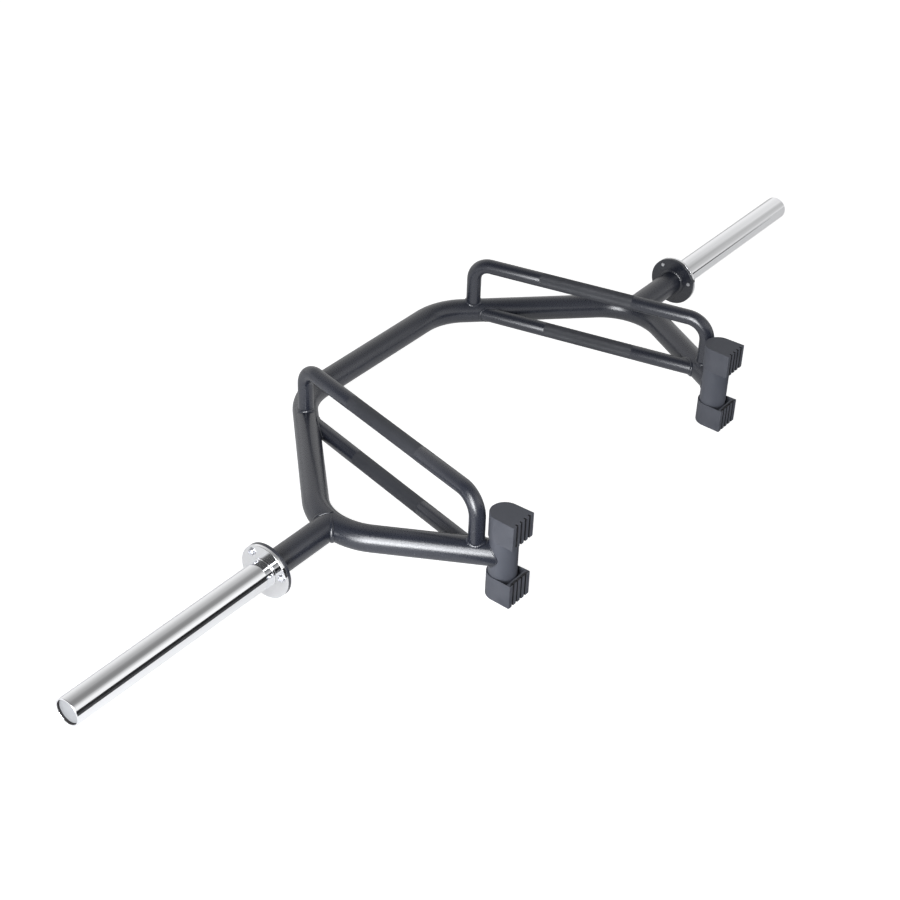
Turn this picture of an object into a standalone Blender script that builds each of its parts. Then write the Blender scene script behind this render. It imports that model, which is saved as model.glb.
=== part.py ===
# Open-back trap bar: a bent tube frame with two heights of grips, bolted-on plate sleeves
# and two posts with rubber feet at the open end. Metres, +Z up. X runs along the sleeves,
# +Y is the closed front, and the lifter walks in from the open end at -Y.
# Pieces are laid out about the sleeve axis. The bar_frame empty then lifts them, so that
# the lower feet stand at z = 0 and the outline is centred on the world origin.

from math import acos, atan2, cos, hypot, pi, radians, sin, tan

import bmesh
import bpy
from mathutils import Matrix, Vector
from mathutils.geometry import intersect_point_line

# Gap between pieces that touch, and between a plug or screw and its hole
SEAT_GAP = 0.0003

# Frame tube, by the corners of its centreline before bending
FRAME_TUBE_DIAMETER = 0.048
FRAME_TUBE_WALL = 0.0035
FRONT_HALF_WIDTH = 0.206
FRONT_REACH = 0.298
SIDE_HALF_WIDTH = 0.502
REAR_LEG_ANGLE = radians(29.8)
FRONT_BEND_RADIUS = 0.120
SIDE_BEND_RADIUS = 0.120
FRAME_WELD = 0.0035

# Foot posts at the ends of the frame tube, each just behind a raised grip's rear leg
POST_DIAMETER = 0.051
POST_WALL = 0.003
WELD_TO_WELD_GAP = 0.0008
UPPER_RISE = 0.088
LOWER_DROP = 0.0845

# Rubber feet: D-shaped cups that flare a little towards a ribbed flat back
FOOT_HEIGHT = 0.048
FOOT_WALL = 0.0022
FOOT_FLOOR = 0.006
FOOT_BACK = 0.037
FOOT_BACK_HALF_WIDTH = 0.029
FOOT_BACK_WALL = 0.004
FOOT_CORNER = 0.0015
FOOT_EDGE = 0.0012
RIB_COUNT = 5
RIB_DEPTH = 0.0045
GROOVE_WIDTH = 0.0044
GROOVE_TAPER = 0.0008

# Grips, both heights in one upright plane that opens towards the back
GRIP_DIAMETER = 0.029
GRIP_WALL = 0.003
GRIP_SPACING = 0.628
GRIP_TOE_ANGLE = radians(13.1)
RAISED_GRIP_HEIGHT = 0.111
GRIP_FRONT_BEND_RADIUS = 0.035
GRIP_REAR_BEND_RADIUS = 0.042
GRIP_WELD = 0.0025

# Bolted flanges and plate sleeves
PLATE_STOP_HALF_SPACING = 0.640
FLANGE_DIAMETER = 0.100
FLANGE_THICKNESS = 0.006
FLANGE_EDGE = 0.0008
SLEEVE_DIAMETER = 0.050
SLEEVE_WALL = 0.003
SLEEVE_LENGTH = 0.432
SLEEVE_MOUTH_EDGE = 0.001
END_CAP_RECESS = 0.0045
END_CAP_THICKNESS = 0.004
END_CAP_EDGE = 0.0006

# Flange screws
SCREW_COUNT = 3
SCREW_CIRCLE_DIAMETER = 0.080
SCREW_FIRST_ANGLE = radians(50)
SCREW_DIAMETER = 0.008
SCREW_TIP = 0.0006
SCREW_HEAD_DIAMETER = 0.014
SCREW_HEAD_HEIGHT = 0.0044
SCREW_SHOULDER_DIAMETER = 0.0132
SCREW_SHOULDER_HEIGHT = 0.002
SCREW_CROWN_DIAMETER = 0.0087
SCREW_SOCKET_DIAMETER = 0.0058
SCREW_SOCKET_DEPTH = 0.0026

# Faces around the round pieces, and steps round the bends
FRAME_SIDES = 24
STUB_SIDES = 28
POST_SIDES = 24
GRIP_SIDES = 16
FLANGE_SIDES = 40
SLEEVE_SIDES = 32
SCREW_SIDES = 12
FOOT_FRONT_STEPS = 12
FRONT_BEND_STEPS = 5
SIDE_BEND_STEPS = 8
GRIP_BEND_STEPS = 6
BEAD_CROWN = 0.18
LANDING_HALVINGS = 36
SMOOTH_ANGLE = radians(32)

SIDES = {"left": -1, "right": 1}


def clear_scene():
    for item in list(bpy.data.objects):
        bpy.data.objects.remove(item)


def make_material(name, color, roughness, metallic):
    material = bpy.data.materials.new(name)
    material.use_nodes = True
    shader = material.node_tree.nodes["Principled BSDF"]
    shader.inputs["Base Color"].default_value = (*color, 1)
    shader.inputs["Roughness"].default_value = roughness
    shader.inputs["Metallic"].default_value = metallic
    material.diffuse_color = (*color, 1)
    return material


def make_materials():
    return {
        "coat": make_material("powder_coat", (0.055, 0.060, 0.070), 0.42, 0.0),
        "rubber": make_material("grey_rubber", (0.105, 0.112, 0.125), 0.72, 0.0),
        "chrome": make_material("chrome", (0.86, 0.87, 0.89), 0.08, 1.0),
        "zinc": make_material("zinc", (0.72, 0.73, 0.75), 0.28, 1.0),
    }


def add_object(name, form, material, origin, parent):
    # The mesh is built in the bar's own layout, then hung from its natural reference point.
    bmesh.ops.recalc_face_normals(form, faces=form.faces)
    mesh = bpy.data.meshes.new(name)
    form.to_mesh(mesh)
    form.free()
    mesh.transform(Matrix.Translation(-origin))
    mesh.shade_smooth()
    mesh.set_sharp_from_angle(angle=SMOOTH_ANGLE)
    mesh.materials.append(material)
    item = bpy.data.objects.new(name, mesh)
    item.location = origin
    item.parent = parent
    bpy.context.scene.collection.objects.link(item)
    return item


def loft(rings, endless=False):
    # Skins a row of rings of equal count. An endless row closes on itself, as a tube wall does.
    form = bmesh.new()
    loops = [[form.verts.new(point) for point in ring] for ring in rings]
    pairs = list(zip(loops, loops[1:]))
    if endless:
        pairs.append((loops[-1], loops[0]))
    for low, high in pairs:
        for index in range(len(low)):
            after = (index + 1) % len(low)
            form.faces.new((low[index], low[after], high[after], high[index]))
    if not endless:
        form.faces.new(loops[0])
        form.faces.new(loops[-1])
    return form


def circle(count, radius, height, centre=Vector()):
    turns = [2 * pi * index / count for index in range(count)]
    return [centre + Vector((radius * cos(turn), radius * sin(turn), height)) for turn in turns]


def turned(profile, count):
    # A solid turned about local Z from (radius, height) pairs.
    return loft([circle(count, radius, height) for radius, height in profile])


def bent_centreline(corners, bend_radius, steps):
    # Stations of (point, heading) along straight runs joined by tangent arcs.
    stations = [(corners[0], (corners[1] - corners[0]).normalized())]
    for before, corner, after, radius, count in zip(corners, corners[1:], corners[2:], bend_radius, steps):
        heading = (corner - before).normalized()
        leaving = (after - corner).normalized()
        turn = heading.angle(leaving)
        start = corner - heading * radius * tan(turn / 2)
        axis = heading.cross(leaving).normalized()
        centre = start + axis.cross(heading) * radius
        for index in range(count + 1):
            spin = Matrix.Rotation(turn * index / count, 3, axis)
            stations.append((centre + spin @ (start - centre), spin @ heading))
    stations.append((corners[-1], (corners[-1] - corners[-2]).normalized()))
    return stations


def section(heading, upright, sides):
    # Unit spokes square to the heading, counted the same way along the whole tube.
    across = heading.cross(upright).normalized()
    turns = [2 * pi * (index + 0.5) / sides for index in range(sides)]
    return [upright * cos(turn) + across * sin(turn) for turn in turns]


class TubeSeat:
    # The outside of a tube that another tube's end is coped to.
    def __init__(self, points, radius):
        self.runs = list(zip(points, points[1:]))
        self.radius = radius

    def nearest(self, point):
        best = None
        for start, end in self.runs:
            foot, share = intersect_point_line(point, start, end)
            foot = start.lerp(end, min(max(share, 0), 1))
            if best is None or (point - foot).length < (point - best).length:
                best = foot
        return best

    def normal(self, point):
        return (point - self.nearest(point)).normalized()

    def clearance(self, point):
        return (point - self.nearest(point)).length - self.radius - SEAT_GAP


class FaceSeat:
    # A flat face that a tube's square end is welded to.
    def __init__(self, point, normal):
        self.point = point
        self.out = normal

    def normal(self, point):
        return self.out

    def clearance(self, point):
        return (point - self.point).dot(self.out) - SEAT_GAP


def land(point, heading, reach, seat):
    # Runs from a point along the heading until it meets the seat.
    near = 0.0
    far = reach
    for _ in range(LANDING_HALVINGS):
        middle = (near + far) / 2
        if seat.clearance(point + heading * middle) > 0:
            near = middle
        else:
            far = middle
    return point + heading * near


def coped_end(anchor, heading, reach, spokes, radius, wall, seat, bead):
    # Rings from the tube's outside over its weld bead and across the cope to the bore.
    rings = {"top": [], "crown": [], "toe": [], "outer": [], "mid_wall": [], "inner": []}
    for spoke in spokes:
        outer = land(anchor + spoke * radius, heading, reach, seat)
        mid_wall = land(anchor + spoke * (radius - wall / 2), heading, reach, seat)
        inner = land(anchor + spoke * (radius - wall), heading, reach, seat)
        out = seat.normal(outer)
        along = (spoke - out * spoke.dot(out)).normalized()
        toe = outer + along * bead
        toe = toe - seat.normal(toe) * seat.clearance(toe)
        top = outer - heading * bead
        bulge = (spoke + out).normalized() * bead * BEAD_CROWN
        rings["top"].append(top)
        rings["crown"].append((top + toe) / 2 + bulge)
        rings["toe"].append(toe)
        rings["outer"].append(outer)
        rings["mid_wall"].append(mid_wall)
        rings["inner"].append(inner)
    return rings


def welded_tube(stations, upright, radius, wall, sides, start_seat, end_seat, bead):
    # A hollow tube along its stations, coped to a seat at each end with a weld bead round it.
    first = stations[0]
    last = stations[-1]
    middle = stations[1:-1] or [((first[0] + last[0]) / 2, first[1])]
    start_spokes = section(middle[0][1], upright, sides)
    end_spokes = section(middle[-1][1], upright, sides)
    start_reach = (middle[0][0] - first[0]).length
    end_reach = (last[0] - middle[-1][0]).length
    start = coped_end(middle[0][0], -middle[0][1], start_reach, start_spokes, radius, wall, start_seat, bead)
    end = coped_end(middle[-1][0], middle[-1][1], end_reach, end_spokes, radius, wall, end_seat, bead)
    outside = []
    inside = []
    for point, heading in stations[1:-1]:
        spokes = section(heading, upright, sides)
        outside.append([point + spoke * radius for spoke in spokes])
        inside.append([point + spoke * (radius - wall) for spoke in spokes])
    rings = [start["outer"], start["toe"], start["crown"], start["top"]]
    rings += outside
    rings += [end["top"], end["crown"], end["toe"], end["outer"], end["mid_wall"], end["inner"]]
    rings += list(reversed(inside))
    rings += [start["inner"], start["mid_wall"]]
    return loft(rings, endless=True)


def grip_line_crossing(start, heading):
    # Where the right-hand grip line crosses a straight leg of the frame, seen from above.
    lean = tan(GRIP_TOE_ANGLE)
    run = (GRIP_SPACING / 2 - start.x - lean * start.y) / (heading.x + lean * heading.y)
    return start + heading * run


def right_layout():
    # The right half's corners and grip ends, from the front to the post at the open end.
    front_corner = Vector((FRONT_HALF_WIDTH, FRONT_REACH, 0))
    side_corner = Vector((SIDE_HALF_WIDTH, 0, 0))
    rearward = Vector((-sin(REAR_LEG_ANGLE), -cos(REAR_LEG_ANGLE), 0))
    grip_front = grip_line_crossing(side_corner, (front_corner - side_corner).normalized())
    grip_rear = grip_line_crossing(side_corner, rearward)
    welds = GRIP_WELD + WELD_TO_WELD_GAP + FRAME_WELD + SEAT_GAP
    post = grip_rear + rearward * (GRIP_DIAMETER / 2 + welds + POST_DIAMETER / 2)
    return {"front": front_corner, "side": side_corner, "post": post,
            "grip_front": grip_front, "grip_rear": grip_rear}


def on_side(point, side):
    return Vector((side * point.x, point.y, point.z))


def post_axis_points(side):
    foot = on_side(right_layout()["post"], side) - Vector((0, 0, LOWER_DROP))
    return [foot, foot + Vector((0, 0, LOWER_DROP + UPPER_RISE))]


def frame_corners():
    layout = right_layout()
    half = [layout["front"], layout["side"], layout["post"]]
    return [on_side(point, -1) for point in reversed(half)] + half


def frame_stations():
    radii = [SIDE_BEND_RADIUS, FRONT_BEND_RADIUS, FRONT_BEND_RADIUS, SIDE_BEND_RADIUS]
    steps = [SIDE_BEND_STEPS, FRONT_BEND_STEPS, FRONT_BEND_STEPS, SIDE_BEND_STEPS]
    return bent_centreline(frame_corners(), radii, steps)


def frame_seat():
    return TubeSeat([point for point, heading in frame_stations()], FRAME_TUBE_DIAMETER / 2)


def make_frame_tube(material, parent):
    seats = [TubeSeat(post_axis_points(side), POST_DIAMETER / 2) for side in (-1, 1)]
    form = welded_tube(frame_stations(), Vector((0, 0, 1)), FRAME_TUBE_DIAMETER / 2, FRAME_TUBE_WALL,
                       FRAME_SIDES, seats[0], seats[1], FRAME_WELD)
    return add_object("main_frame_tube", form, material, Vector(), parent)


def side_crossing():
    # Where the sleeve axis meets the centreline of the side bend.
    for first, second in zip(frame_stations(), frame_stations()[1:]):
        start = first[0]
        end = second[0]
        if start.x > FRONT_HALF_WIDTH and start.y >= 0 > end.y:
            return start.lerp(end, start.y / (start.y - end.y)).x
    return SIDE_HALF_WIDTH


def frame_flange_inner_face():
    return PLATE_STOP_HALF_SPACING - 2 * FLANGE_THICKNESS - SEAT_GAP


def make_stub(label, side, material, parent):
    face = Vector((side * frame_flange_inner_face(), 0, 0))
    inward = Vector((-side, 0, 0))
    stations = [(face, inward), (Vector((side * side_crossing(), 0, 0)), inward)]
    form = welded_tube(stations, Vector((0, 0, 1)), FRAME_TUBE_DIAMETER / 2, FRAME_TUBE_WALL,
                       STUB_SIDES, FaceSeat(face, inward), frame_seat(), FRAME_WELD)
    return add_object("stub_tube_" + label, form, material, face, parent)


def grip_ends(side):
    layout = right_layout()
    return [on_side(layout[place], side) for place in ("grip_front", "grip_rear")]


def make_lower_grip(label, side, material, parent):
    front, rear = grip_ends(side)
    heading = (rear - front).normalized()
    stations = [(front, heading), (rear, heading)]
    form = welded_tube(stations, Vector((0, 0, 1)), GRIP_DIAMETER / 2, GRIP_WALL,
                       GRIP_SIDES, frame_seat(), frame_seat(), GRIP_WELD)
    return add_object("lower_grip_" + label, form, material, (front + rear) / 2, parent)


def make_raised_grip(label, side, material, parent):
    front, rear = grip_ends(side)
    rise = Vector((0, 0, RAISED_GRIP_HEIGHT))
    corners = [front, front + rise, rear + rise, rear]
    radii = [GRIP_FRONT_BEND_RADIUS, GRIP_REAR_BEND_RADIUS]
    stations = bent_centreline(corners, radii, [GRIP_BEND_STEPS] * 2)
    broadside = (rear - front).cross(rise).normalized()
    form = welded_tube(stations, broadside, GRIP_DIAMETER / 2, GRIP_WALL,
                       GRIP_SIDES, frame_seat(), frame_seat(), GRIP_WELD)
    return add_object("raised_grip_" + label, form, material, (front + rear) / 2 + rise, parent)


def make_post(label, side, material, parent):
    bottom = FOOT_FLOOR + SEAT_GAP
    top = LOWER_DROP + UPPER_RISE - FOOT_FLOOR - SEAT_GAP
    radius = POST_DIAMETER / 2
    bore = radius - POST_WALL
    profile = [(radius, bottom), (radius, top), (bore, top), (bore, bottom)]
    form = loft([circle(POST_SIDES, r, height) for r, height in profile], endless=True)
    item = add_object("foot_post_" + label, form, material, Vector(), parent)
    item.location = post_axis_points(side)[0]
    return item


def foot_flare():
    # The lean of the straight sides, which run from the round front to the back's corners.
    front_radius = POST_DIAMETER / 2 + SEAT_GAP + FOOT_WALL
    reach = hypot(FOOT_BACK_HALF_WIDTH, FOOT_BACK)
    return acos(front_radius / reach) - atan2(FOOT_BACK, FOOT_BACK_HALF_WIDTH)


def foot_outline(front_radius, back, groove_depth):
    # A round front about the post axis, flared sides, and a back crossed by grooves.
    flare = foot_flare()
    span = pi - 2 * flare
    turns = [flare + span * index / FOOT_FRONT_STEPS for index in range(FOOT_FRONT_STEPS + 1)]
    points = [(front_radius * cos(turn), front_radius * sin(turn)) for turn in turns]
    corner = FOOT_CORNER
    shoulder = (front_radius + (back - corner) * sin(flare)) / cos(flare)
    half_width = (front_radius + back * sin(flare)) / cos(flare)
    points += [(-shoulder, corner - back), (corner - half_width, -back)]
    pitch = 2 * half_width / RIB_COUNT
    for index in range(1, RIB_COUNT):
        middle = -half_width + pitch * index
        lip = GROOVE_WIDTH / 2
        root = lip - GROOVE_TAPER
        points += [(middle - lip, -back), (middle - root, groove_depth - back)]
        points += [(middle + root, groove_depth - back), (middle + lip, -back)]
    points += [(half_width - corner, -back), (shoulder, corner - back)]
    return points


def foot_form():
    bore = POST_DIAMETER / 2 + SEAT_GAP
    pocket_back = FOOT_BACK - RIB_DEPTH - FOOT_BACK_WALL
    outer = foot_outline(bore + FOOT_WALL, FOOT_BACK, RIB_DEPTH)
    pocket = foot_outline(bore, pocket_back, 0)
    shrink = 1 - FOOT_EDGE / (bore + FOOT_WALL)
    rings = [[Vector((x * shrink, y * shrink, 0)) for x, y in outer]]
    rings += [[Vector((x, y, height)) for x, y in outer] for height in (FOOT_EDGE, FOOT_HEIGHT)]
    rings += [[Vector((x, y, height)) for x, y in pocket] for height in (FOOT_HEIGHT, FOOT_FLOOR)]
    return loft(rings)


def make_feet(label, side, material, parent):
    ends = post_axis_points(side)
    lower = add_object("lower_foot_" + label, foot_form(), material, Vector(), parent)
    lower.location = ends[0]
    upper = add_object("upper_foot_" + label, foot_form(), material, Vector(), parent)
    upper.location = ends[1]
    upper.rotation_euler = (0, pi, 0)
    return lower, upper


def outward_turn(side):
    # Turns local +Z to point out along the sleeve axis, with local +Y kept.
    return (0, side * pi / 2, 0)


def screw_spots(side):
    # Places on the screw circle in a flange's own frame, alike on both sides of the bar.
    turns = [SCREW_FIRST_ANGLE + 2 * pi * index / SCREW_COUNT for index in range(SCREW_COUNT)]
    radius = SCREW_CIRCLE_DIAMETER / 2
    return [Vector((-side * radius * sin(turn), radius * cos(turn), 0)) for turn in turns]


def make_flange(name, inner_face, side, material, parent):
    radius = FLANGE_DIAMETER / 2
    edge = FLANGE_EDGE
    depth = FLANGE_THICKNESS
    form = turned([(radius - edge, 0), (radius, edge), (radius, depth - edge), (radius - edge, depth)],
                  FLANGE_SIDES)
    flange = add_object(name, form, material, Vector(), parent)
    flange.location = (side * inner_face, 0, 0)
    flange.rotation_euler = outward_turn(side)
    for index, spot in enumerate(screw_spots(side)):
        hole_radius = SCREW_DIAMETER / 2 + SEAT_GAP
        hole = turned([(hole_radius, -depth), (hole_radius, 2 * depth)], SCREW_SIDES)
        cutter = add_object("%s_hole_%d" % (name, index + 1), hole, material, Vector(), flange)
        cutter.location = spot
        cutter.hide_render = True
        cutter.display_type = "WIRE"
        cut = flange.modifiers.new("screw_hole_%d" % (index + 1), "BOOLEAN")
        cut.operation = "DIFFERENCE"
        cut.solver = "EXACT"
        cut.object = cutter
    return flange


def make_sleeve(label, side, material, parent):
    start = PLATE_STOP_HALF_SPACING + SEAT_GAP
    length = SLEEVE_LENGTH - SEAT_GAP
    radius = SLEEVE_DIAMETER / 2
    bore = radius - SLEEVE_WALL
    edge = SLEEVE_MOUTH_EDGE
    profile = [(radius, 0), (radius, length - edge), (radius - edge, length), (bore, length), (bore, 0)]
    form = loft([circle(SLEEVE_SIDES, r, height) for r, height in profile], endless=True)
    sleeve = add_object("sleeve_tube_" + label, form, material, Vector(), parent)
    sleeve.location = (side * start, 0, 0)
    sleeve.rotation_euler = outward_turn(side)
    return sleeve


def make_end_cap(label, side, material, parent):
    # A disc set a little way inside the mouth of the sleeve.
    radius = SLEEVE_DIAMETER / 2 - SLEEVE_WALL - SEAT_GAP
    depth = END_CAP_THICKNESS
    inner_face = PLATE_STOP_HALF_SPACING + SLEEVE_LENGTH - END_CAP_RECESS - depth
    form = turned([(radius, 0), (radius, depth - END_CAP_EDGE), (radius - END_CAP_EDGE, depth)], SLEEVE_SIDES)
    cap = add_object("sleeve_end_cap_" + label, form, material, Vector(), parent)
    cap.location = (side * inner_face, 0, 0)
    cap.rotation_euler = outward_turn(side)
    return cap


def screw_form():
    # A button-head screw with a hexagon socket, its head's seat at local z = 0.
    shank = SCREW_DIAMETER / 2
    head = SCREW_HEAD_DIAMETER / 2
    length = 2 * FLANGE_THICKNESS + SEAT_GAP
    low = SEAT_GAP
    profile = [
        (shank - SCREW_TIP, -length - SCREW_TIP), (shank, -length), (shank, low),
        (head, low), (SCREW_SHOULDER_DIAMETER / 2, low + SCREW_SHOULDER_HEIGHT),
        (SCREW_CROWN_DIAMETER / 2, low + SCREW_HEAD_HEIGHT),
    ]
    rings = [circle(SCREW_SIDES, radius, height) for radius, height in profile]
    flat = cos(pi / 6)
    rim = low + SCREW_HEAD_HEIGHT
    for height in (rim, rim - SCREW_SOCKET_DEPTH):
        corners = circle(SCREW_SIDES, SCREW_SOCKET_DIAMETER / 2, height)
        rings.append([Vector((p.x * flat, p.y * flat, p.z)) if index % 2 else p
                      for index, p in enumerate(corners)])
    return loft(rings)


def make_screws(label, side, material, parent):
    turn = Matrix.Rotation(side * pi / 2, 3, "Y")
    for index, spot in enumerate(screw_spots(side)):
        name = "flange_screw_%s_%d" % (label, index + 1)
        screw = add_object(name, screw_form(), material, Vector(), parent)
        screw.location = Vector((side * PLATE_STOP_HALF_SPACING, 0, 0)) + turn @ spot
        screw.rotation_euler = outward_turn(side)


def make_bar_frame():
    front_edge = FRONT_REACH + FRAME_TUBE_DIAMETER / 2
    rear_edge = FOOT_BACK - right_layout()["post"].y
    frame = bpy.data.objects.new("bar_frame", None)
    frame.location = (0, (rear_edge - front_edge) / 2, LOWER_DROP)
    bpy.context.scene.collection.objects.link(frame)
    return frame


def build():
    clear_scene()
    material = make_materials()
    frame = make_bar_frame()
    make_frame_tube(material["coat"], frame)
    for label, side in SIDES.items():
        make_stub(label, side, material["coat"], frame)
        make_flange("frame_flange_" + label, frame_flange_inner_face(), side, material["coat"], frame)
        make_flange("sleeve_flange_" + label, PLATE_STOP_HALF_SPACING - FLANGE_THICKNESS, side,
                    material["chrome"], frame)
        make_sleeve(label, side, material["chrome"], frame)
        make_end_cap(label, side, material["chrome"], frame)
        make_screws(label, side, material["zinc"], frame)
        make_lower_grip(label, side, material["coat"], frame)
        make_raised_grip(label, side, material["coat"], frame)
        make_post(label, side, material["coat"], frame)
        make_feet(label, side, material["rubber"], frame)


build()
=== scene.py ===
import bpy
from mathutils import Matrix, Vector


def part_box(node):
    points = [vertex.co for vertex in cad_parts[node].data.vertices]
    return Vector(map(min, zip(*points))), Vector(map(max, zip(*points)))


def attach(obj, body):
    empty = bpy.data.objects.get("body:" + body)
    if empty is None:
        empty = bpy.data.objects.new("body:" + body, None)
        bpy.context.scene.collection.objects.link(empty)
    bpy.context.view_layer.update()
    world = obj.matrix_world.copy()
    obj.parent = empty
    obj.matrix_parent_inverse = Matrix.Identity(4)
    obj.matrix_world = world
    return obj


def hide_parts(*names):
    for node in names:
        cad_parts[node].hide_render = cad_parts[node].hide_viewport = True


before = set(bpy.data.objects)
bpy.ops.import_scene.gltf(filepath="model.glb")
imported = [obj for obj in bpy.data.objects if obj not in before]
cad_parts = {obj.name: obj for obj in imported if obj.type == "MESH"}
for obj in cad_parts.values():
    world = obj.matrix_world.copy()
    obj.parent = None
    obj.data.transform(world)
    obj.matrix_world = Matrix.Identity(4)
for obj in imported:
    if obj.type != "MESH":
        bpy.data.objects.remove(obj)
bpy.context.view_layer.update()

import math

import bmesh
import bpy
from mathutils import Matrix, Quaternion, Vector

# Open-back trap bar. X runs along the sleeves, +Y is the closed front, the grips point up.
sides = {"left": -1, "right": 1}
screwNumbers = (1, 2, 3)
up = Vector((0, 0, 1))
right = Vector((1, 0, 0))
slack = 0.0001  # how far off a wall a corner may lie and still belong to it
samePlace = 0.000001  # corners nearer to each other than this are merged


def boxCentre(node):
    low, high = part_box(node)
    return (low + high) / 2


axis = boxCentre("sleeve_tube_right")  # on the sleeve axis, about which the frame is laid out


def inRow(point, side=1):
    # A corner of the frame, given from the sleeve axis for the right side, set on either side.
    return Vector((side * point.x, point.y + axis.y, point.z + axis.z))


def postAxis(label):
    centre = boxCentre("foot_post_" + label)
    return Vector((centre.x, centre.y, axis.z))


def sleeveSpan(node, side):
    # The inner end of a round piece on the sleeve axis, its way outward, its radius and its length.
    low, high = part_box(node)
    innerEnd = Vector((low.x if side > 0 else high.x, axis.y, axis.z))
    return innerEnd, Vector((side, 0, 0)), (high.z - low.z) / 2, high.x - low.x


coatLook = {
    "colour": (0.0140, 0.0165, 0.0255), "paler": (0.0200, 0.0225, 0.0330), "cloudScale": 9.0,
    "gloss": (0.25, 0.34), "shine": 1.0, "peelScale": 620.0, "peelHeight": 0.00004,
}
knurlLook = {
    "colour": (0.022, 0.024, 0.031), "paler": (0.031, 0.033, 0.041), "cloudScale": 9.0,
    "gloss": (0.45, 0.56), "shine": 0.72, "peelScale": 900.0, "peelHeight": 0.00006,
}
postLook = {
    "colour": (0.068, 0.073, 0.089), "paler": (0.079, 0.084, 0.101), "cloudScale": 9.0,
    "gloss": (0.44, 0.54), "shine": 0.5, "peelScale": 620.0, "peelHeight": 0.00008,
}
# Painted shade: the sleeve's bore, bare steel in the real bar, is coloured near black for the shade
# inside its mouth.
boreShadeLook = {
    "colour": (0.018, 0.018, 0.020), "paler": (0.040, 0.038, 0.038), "cloudScale": 9.0,
    "gloss": (0.60, 0.75), "shine": 0.12, "peelScale": 700.0, "peelHeight": 0.00004,
}
rubberLook = {
    "colour": (0.064, 0.068, 0.082), "paler": (0.077, 0.081, 0.096), "cloudScale": 38.0,
    "gloss": (0.55, 0.70), "grainScale": 1500.0, "grainHeight": 0.00010,
}
# Painted shade: a near-black rubber for the groove faces of the feet, darker than the real rubber.
grooveShadeLook = {
    "colour": (0.014, 0.014, 0.016), "paler": (0.022, 0.022, 0.025), "cloudScale": 38.0,
    "gloss": (0.80, 0.92), "grainScale": 1500.0, "grainHeight": 0.00010,
}
chromeLook = {
    "colour": (0.90, 0.905, 0.92), "metal": 1.0, "gloss": (0.045, 0.10),
    "hazeScale": 14.0, "lineScale": 900.0,
}
capLook = {
    "colour": (0.31, 0.315, 0.325), "metal": 0.25, "gloss": (0.45, 0.58),
    "hazeScale": 40.0, "lineScale": 1200.0,
}
zincLook = {
    "colour": (0.72, 0.73, 0.76), "metal": 1.0, "gloss": (0.32, 0.48),
    "hazeScale": 60.0, "lineScale": 1600.0,
}
turnedLines = {"stretch": (1.0, 0.06, 0.06), "height": 0.000004}  # drawn out round the sleeve


def startMaterial(name):
    material = bpy.data.materials.new(name)
    material.use_nodes = True
    tree = material.node_tree
    place = tree.nodes.new("ShaderNodeTexCoord")
    return material, tree, tree.nodes["Principled BSDF"], place.outputs["Object"]


def addNoise(tree, coords, scale, detail, stretch=(1, 1, 1)):
    mapping = tree.nodes.new("ShaderNodeMapping")
    mapping.inputs["Scale"].default_value = stretch
    noise = tree.nodes.new("ShaderNodeTexNoise")
    noise.inputs["Scale"].default_value = scale
    noise.inputs["Detail"].default_value = detail
    tree.links.new(coords, mapping.inputs["Vector"])
    tree.links.new(mapping.outputs["Vector"], noise.inputs["Vector"])
    return noise.outputs["Fac"]


def addRange(tree, value, low, high, start=0.3, end=0.7):
    ranged = tree.nodes.new("ShaderNodeMapRange")
    ranged.inputs["From Min"].default_value = start
    ranged.inputs["From Max"].default_value = end
    ranged.inputs["To Min"].default_value = low
    ranged.inputs["To Max"].default_value = high
    tree.links.new(value, ranged.inputs["Value"])
    return ranged.outputs["Result"]


def addColours(tree, value, look, start=0.35, end=0.65):
    ramp = tree.nodes.new("ShaderNodeValToRGB")
    first, second = ramp.color_ramp.elements
    first.position, second.position = start, end
    first.color, second.color = (*look["colour"], 1), (*look["paler"], 1)
    tree.links.new(value, ramp.inputs["Fac"])
    return ramp.outputs["Color"]


def addBump(tree, height, distance):
    bump = tree.nodes.new("ShaderNodeBump")
    bump.inputs["Strength"].default_value = 1.0
    bump.inputs["Distance"].default_value = distance
    tree.links.new(height, bump.inputs["Height"])
    return bump.outputs["Normal"]


def addMath(tree, operation, first, second):
    node = tree.nodes.new("ShaderNodeMath")
    node.operation = operation
    for socket, value in zip(node.inputs, (first, second)):
        if isinstance(value, (int, float)):
            socket.default_value = value
        else:
            tree.links.new(value, socket)
    return node.outputs[0]


def linkShader(tree, shader, **looks):
    sockets = {"colour": "Base Color", "roughness": "Roughness", "normal": "Normal"}
    for look, value in looks.items():
        tree.links.new(value, shader.inputs[sockets[look]])


def makeCoat(name, look):
    # Powder coat: its tone drifts slowly, and a fine peel breaks up the gloss.
    material, tree, shader, coords = startMaterial(name)
    shader.inputs["Specular IOR Level"].default_value = look["shine"]
    cloud = addNoise(tree, coords, look["cloudScale"], detail=3.0)
    peel = addNoise(tree, coords, look["peelScale"], detail=2.0)
    linkShader(tree, shader, colour=addColours(tree, cloud, look),
               roughness=addRange(tree, peel, *look["gloss"]),
               normal=addBump(tree, peel, look["peelHeight"]))
    return material


def makeRubber(name, look):
    material, tree, shader, coords = startMaterial(name)
    cloud = addNoise(tree, coords, look["cloudScale"], detail=5.0)
    grain = addNoise(tree, coords, look["grainScale"], detail=3.0)
    linkShader(tree, shader, colour=addColours(tree, cloud, look),
               roughness=addRange(tree, cloud, *look["gloss"]),
               normal=addBump(tree, grain, look["grainHeight"]))
    return material


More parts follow.
